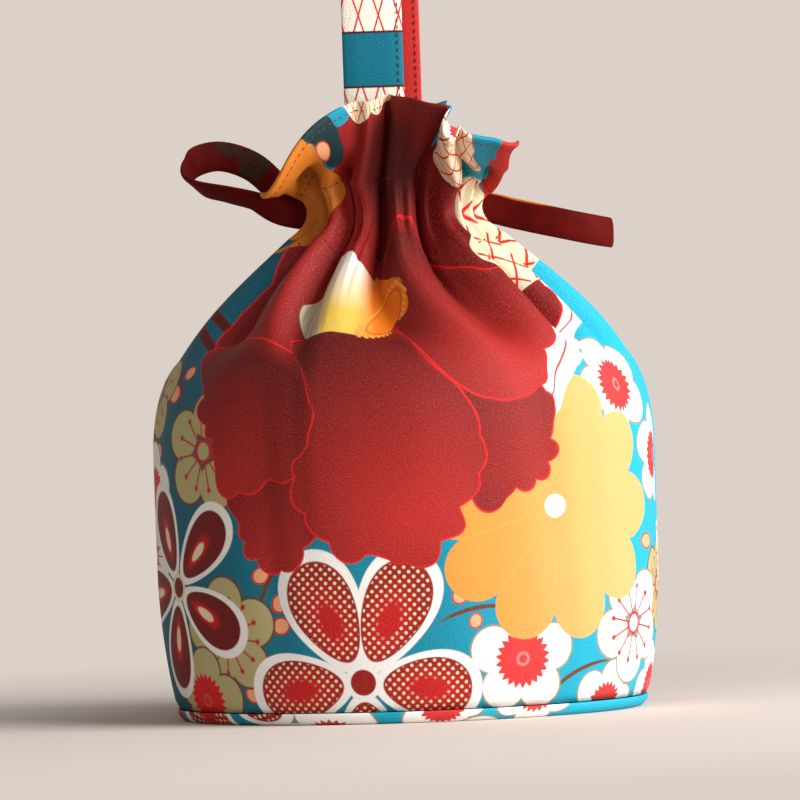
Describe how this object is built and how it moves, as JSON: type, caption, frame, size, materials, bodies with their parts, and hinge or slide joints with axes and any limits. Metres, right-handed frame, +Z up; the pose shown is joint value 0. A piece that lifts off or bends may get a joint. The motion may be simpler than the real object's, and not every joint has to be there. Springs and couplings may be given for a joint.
{
  "type": "drawstring handbag",
  "caption": "Printed cotton drawstring handbag on an oval base, drawn shut at a gathered neck with a pleated frill, flat drawstring loops at its sides and a strap handle.",
  "frame": {"origin": "middle of the base, on the surface that the bag stands on", "axes": "+Z up towards the handle, the front of the bag faces -Y, +X to the right of the front"},
  "size_m": [0.201, 0.1638, 0.372],
  "materials": {
    "printed_cotton": "matt printed cotton",
    "strap_cotton": "matt printed cotton",
    "drawstring_cotton": "matt cotton",
    "lining_cotton": "plain matt cotton"
  },
  "bodies": {
    "root": {"front_panel": "printed_cotton", "back_panel": "printed_cotton", "base_panel": "printed_cotton", "lining_wall": "lining_cotton", "lining_base": "lining_cotton", "drawstring": "drawstring_cotton", "strap_handle": "strap_cotton"}
  },
  "joints": []
}
